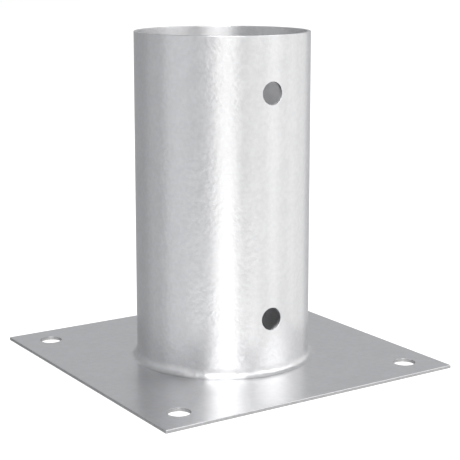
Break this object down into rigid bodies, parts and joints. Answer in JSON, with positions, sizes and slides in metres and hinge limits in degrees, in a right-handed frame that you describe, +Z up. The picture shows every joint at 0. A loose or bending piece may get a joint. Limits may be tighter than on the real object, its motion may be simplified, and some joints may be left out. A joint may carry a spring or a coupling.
{
  "type": "ground anchor",
  "caption": "Galvanised steel ground anchor: a square base plate with bolt holes carries a welded upright tube, cross-drilled to hold a round post.",
  "frame": {"origin": "centre of the base plate's underside, on the tube's axis", "axes": "+Z up the tube and out of its mouth, X and Y along the sides of the plate, with the cross holes along Y"},
  "size_m": [0.15, 0.15, 0.1515],
  "materials": {
    "galvanised_plate": "zinc-coated sheet steel, smooth satin",
    "galvanised_tube": "zinc-coated tube, satin with fine cloudy mottling",
    "galvanised_weld": "weld bead flooded with zinc, smooth and slightly uneven"
  },
  "bodies": {
    "root": {"base_plate": "galvanised_plate", "post_sleeve": "galvanised_tube", "fillet_weld": "galvanised_weld"}
  },
  "joints": []
}
